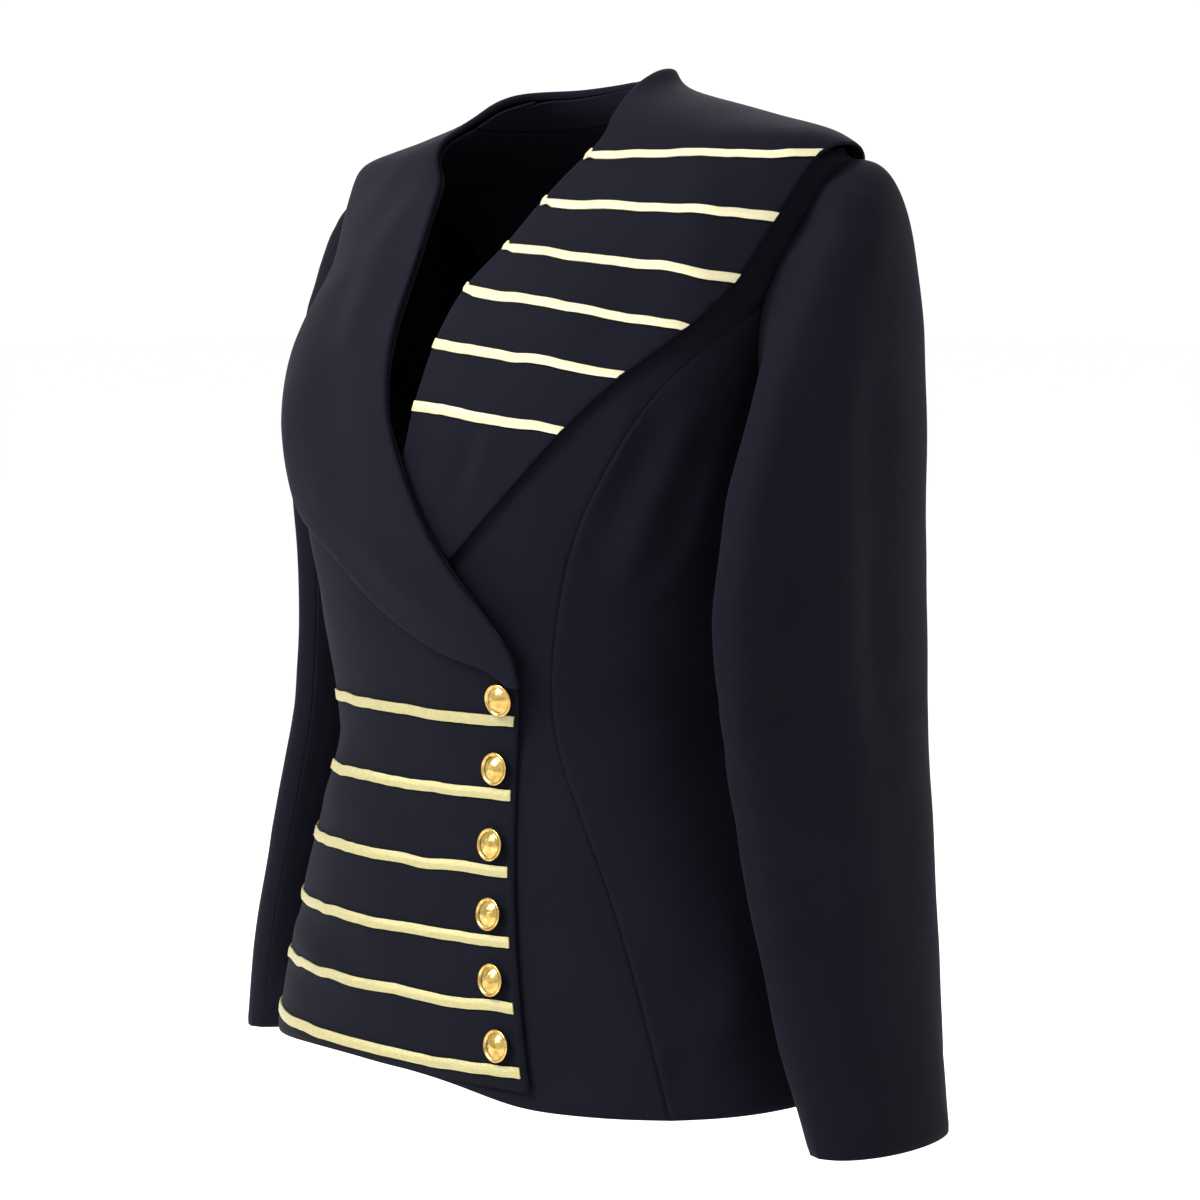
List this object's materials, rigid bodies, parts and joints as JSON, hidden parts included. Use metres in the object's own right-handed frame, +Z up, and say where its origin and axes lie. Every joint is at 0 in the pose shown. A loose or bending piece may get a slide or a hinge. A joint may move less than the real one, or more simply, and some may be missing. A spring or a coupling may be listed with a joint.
{
  "type": "military-style blazer",
  "caption": "Fitted long-sleeved blazer in a military style, with a wide rolled collar, braided lapel and overlapping braided front closed by domed buttons.",
  "frame": {"origin": "on the neck's axis, at the height where the shoulder seam meets the neck seam", "axes": "+Z up, the front faces -Y, +X towards the wearer's left"},
  "size_m": [0.574, 0.3008, 0.6426],
  "materials": {
    "front_left": "matt black wool cloth",
    "front_right": "matt black wool cloth",
    "side_front_left": "matt black wool cloth",
    "side_front_right": "matt black wool cloth",
    "side_back_left": "matt black wool cloth",
    "side_back_right": "matt black wool cloth",
    "back_left": "matt black wool cloth",
    "back_right": "matt black wool cloth",
    "collar_stand_left": "matt black wool cloth",
    "collar_stand_right": "matt black wool cloth",
    "upper_sleeve_left": "matt black wool cloth",
    "upper_sleeve_right": "matt black wool cloth",
    "under_sleeve_left": "matt black wool cloth",
    "under_sleeve_right": "matt black wool cloth",
    "collar_left": "matt black wool cloth",
    "collar_right": "matt black wool cloth",
    "front_braid_1": "woven gold braid",
    "front_braid_2": "woven gold braid",
    "front_braid_3": "woven gold braid",
    "front_braid_4": "woven gold braid",
    "front_braid_5": "woven gold braid",
    "front_braid_6": "woven gold braid",
    "lapel_braid_1": "woven gold braid",
    "lapel_braid_2": "woven gold braid",
    "lapel_braid_3": "woven gold braid",
    "lapel_braid_4": "woven gold braid",
    "lapel_braid_5": "woven gold braid",
    "lapel_braid_6": "woven gold braid",
    "button_1": "polished gold",
    "button_2": "polished gold",
    "button_3": "polished gold",
    "button_4": "polished gold",
    "button_5": "polished gold",
    "button_6": "polished gold"
  },
  "bodies": {
    "root": {"front_left": "front_left", "front_right": "front_right", "side_front_left": "side_front_left", "side_front_right": "side_front_right", "side_back_left": "side_back_left", "side_back_right": "side_back_right", "back_left": "back_left", "back_right": "back_right", "collar_stand_left": "collar_stand_left", "collar_stand_right": "collar_stand_right", "upper_sleeve_left": "upper_sleeve_left", "upper_sleeve_right": "upper_sleeve_right", "under_sleeve_left": "under_sleeve_left", "under_sleeve_right": "under_sleeve_right", "collar_left": "collar_left", "collar_right": "collar_right", "front_braid_1": "front_braid_1", "front_braid_2": "front_braid_2", "front_braid_3": "front_braid_3", "front_braid_4": "front_braid_4", "front_braid_5": "front_braid_5", "front_braid_6": "front_braid_6", "lapel_braid_1": "lapel_braid_1", "lapel_braid_2": "lapel_braid_2", "lapel_braid_3": "lapel_braid_3", "lapel_braid_4": "lapel_braid_4", "lapel_braid_5": "lapel_braid_5", "lapel_braid_6": "lapel_braid_6", "button_1": "button_1", "button_2": "button_2", "button_3": "button_3", "button_4": "button_4", "button_5": "button_5", "button_6": "button_6"}
  },
  "joints": []
}
